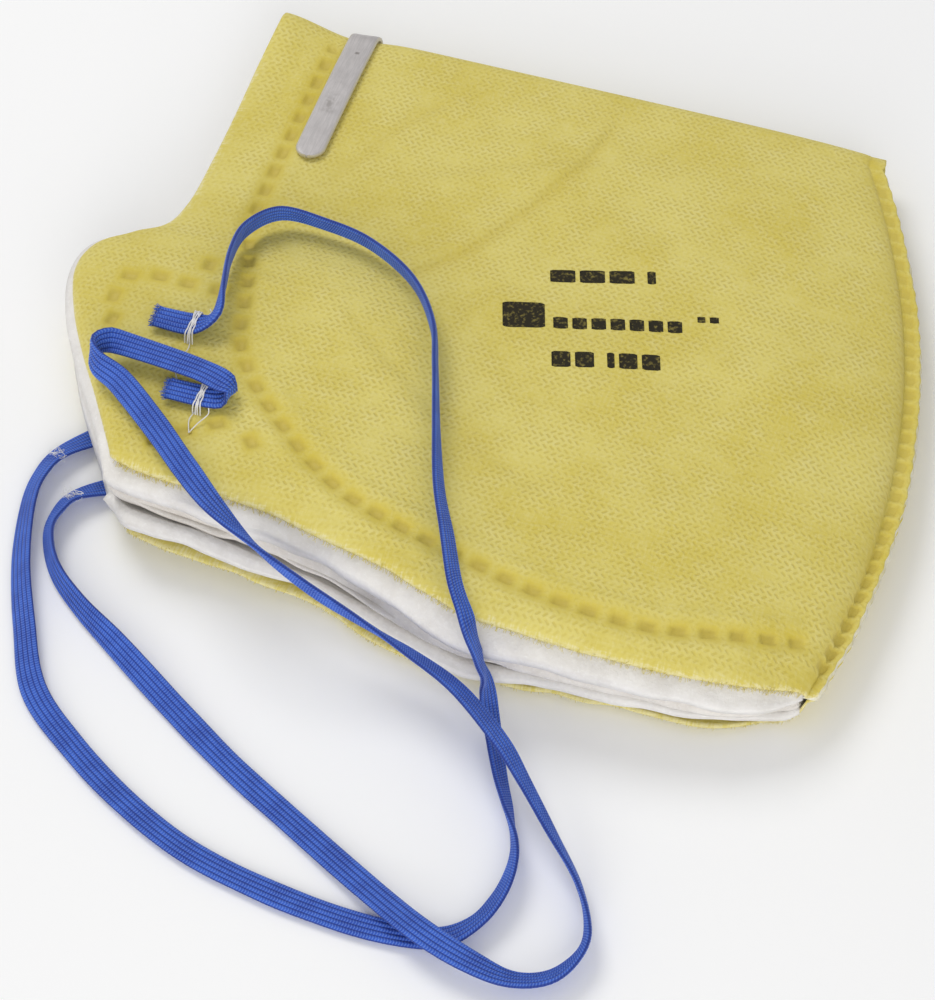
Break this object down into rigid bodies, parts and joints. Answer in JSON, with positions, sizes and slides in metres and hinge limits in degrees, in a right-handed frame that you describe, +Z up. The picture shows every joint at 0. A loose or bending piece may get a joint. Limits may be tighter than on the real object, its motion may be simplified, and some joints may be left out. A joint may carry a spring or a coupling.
{
  "type": "disposable dust mask",
  "caption": "Fold-flat disposable dust mask lying on its side, with a soft layered body, a bent metal nose strip and elastic head straps.",
  "frame": {"origin": "centre of the folded mask's footprint, on the surface it lies on (straps left out)", "axes": "+X from the nose edge to the welded front along the ridge, +Y towards the folded ridge, +Z up through the folded halves"},
  "size_m": [0.1439, 0.1743, 0.0247],
  "materials": {
    "yellow_cover": "embossed nonwoven",
    "white_filter": "soft fibre felt",
    "white_lining": "thin nonwoven",
    "welded_seam": "pressed nonwoven",
    "strip_aluminium": "dull rolled",
    "tape_white": "adhesive film",
    "strap_blue": "braided elastic",
    "thread_white": "polyester thread"
  },
  "bodies": {
    "mask_base": {"outer_cover": "yellow_cover", "filter_layer": "white_filter", "inner_lining": "white_lining", "front_seam": "welded_seam", "nose_strip": "strip_aluminium", "nose_strip_tape": "tape_white", "lower_strap_1_stitch": "thread_white", "lower_strap_2_stitch": "thread_white", "strap_1_loop": "strap_blue", "strap_2_loop": "strap_blue"},
    "upper_cheek": {"cheek_cover": "yellow_cover", "cheek_filter": "white_filter", "cheek_lining": "white_lining", "cheek_nose_strip": "strip_aluminium", "cheek_strip_tape": "tape_white", "upper_strap_1_stitch": "thread_white", "upper_strap_2_stitch": "thread_white", "upper_strap_1_run": "strap_blue", "upper_strap_2_run": "strap_blue"}
  },
  "joints": [
    {"name": "cheek_lift", "type": "hinge", "parent": "mask_base", "child": "upper_cheek", "pos_m": [0.003, 0.001, 0.0184], "axis": [-0.7495, 0.662, 0], "range_deg": [0, 60]}
  ]
}
